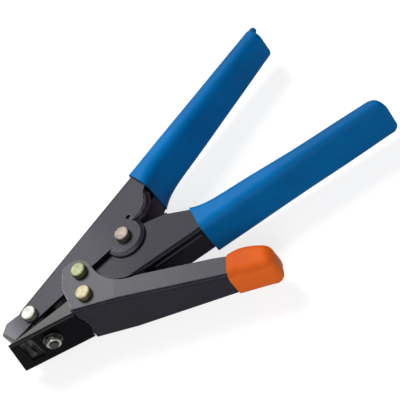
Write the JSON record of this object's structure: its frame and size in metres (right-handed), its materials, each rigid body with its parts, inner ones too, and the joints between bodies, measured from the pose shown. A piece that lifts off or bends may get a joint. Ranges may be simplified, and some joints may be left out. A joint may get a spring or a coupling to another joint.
{
  "type": "cable tie tensioning tool",
  "caption": "Hand tool with two long dipped handles that pull a cable tie tight, and a short sprung lever that cuts the tail off at the nose.",
  "frame": {"origin": "under the middle of the tool's bounding box, on the surface that it lies on", "axes": "+X from the nose to the handle ends, +Y towards the fixed handle, +Z along the pivots, up as it lies flat"},
  "size_m": [0.1954, 0.118, 0.0298],
  "materials": {
    "black_steel": "satin black paint on folded sheet steel",
    "blue_vinyl": "satin blue dipped vinyl",
    "orange_vinyl": "satin orange dipped vinyl",
    "plated_steel": "zinc plated rivets, slightly yellow",
    "bright_steel": "bright turned and ground steel",
    "spring_steel": "spring wire"
  },
  "bodies": {
    "frame": {"main_frame": "black_steel", "upper_grip": "blue_vinyl", "pivot_rivet": "plated_steel", "lever_rivet": "plated_steel", "nose_rivet": "plated_steel", "nose_guide": "bright_steel", "blade_spacers": "bright_steel", "pivot_bush": "bright_steel", "hub_washers": "black_steel", "lever_bush": "bright_steel", "handle_spring": "spring_steel"},
    "handle": {"moving_handle": "black_steel", "lower_grip": "blue_vinyl", "drive_pin": "bright_steel"},
    "lever": {"cutting_lever": "black_steel", "lever_grip": "orange_vinyl", "link_rivet": "plated_steel"},
    "arm": {"cutter_arm": "black_steel", "blade_stud": "bright_steel", "stud_washer": "bright_steel", "lock_nut": "bright_steel", "blade_yoke": "bright_steel"},
    "blade": {"cutter_blade": "bright_steel"},
    "puller": {"pull_bar": "bright_steel", "grip_pawl_pin": "bright_steel", "grip_pawl_spring": "spring_steel"},
    "pawl": {"grip_pawl": "bright_steel"}
  },
  "joints": [
    {"name": "handle_pivot", "type": "hinge", "parent": "frame", "child": "handle", "pos_m": [-0.02516, 0.0047, 0.0149], "axis": [0, 0, 1], "range_deg": [0, 28], "stiffness_Nm_per_rad": 0.3, "springref_deg": -17.19},
    {"name": "lever_pivot", "type": "hinge", "parent": "frame", "child": "lever", "pos_m": [-0.04986, 0.003, 0.0149], "axis": [0, 0, 1], "range_deg": [0, 13], "stiffness_Nm_per_rad": 0.2, "springref_deg": -17.19},
    {"name": "arm_link", "type": "hinge", "parent": "lever", "child": "arm", "pos_m": [-0.05379, -0.00908, 0.0149], "axis": [0, 0, 1], "range_deg": [-13.1, 0.1]},
    {"name": "blade_pivot", "type": "hinge", "parent": "frame", "child": "blade", "pos_m": [-0.07876, 0.0037, 0.0149], "axis": [0, 0, 1], "range_deg": [-0.1, 31.1]},
    {"name": "bar_slide", "type": "slide", "parent": "frame", "child": "puller", "axis": [1, 0, 0], "range_m": [-0.0001, 0.0064]},
    {"name": "pawl_hinge", "type": "hinge", "parent": "puller", "child": "pawl", "pos_m": [-0.06616, 0.0059, 0.0149], "axis": [0, 0, 1], "range_deg": [0, 12], "stiffness_Nm_per_rad": 0.01, "springref_deg": -17.19}
  ],
  "couplings": [
    {"joint": "arm_link", "follows": "lever_pivot", "ratio": -1},
    {"joint": "blade_pivot", "follows": "lever_pivot", "ratio": 2.38},
    {"joint": "bar_slide", "follows": "handle_pivot", "m_per_rad": 0.0128}
  ]
}
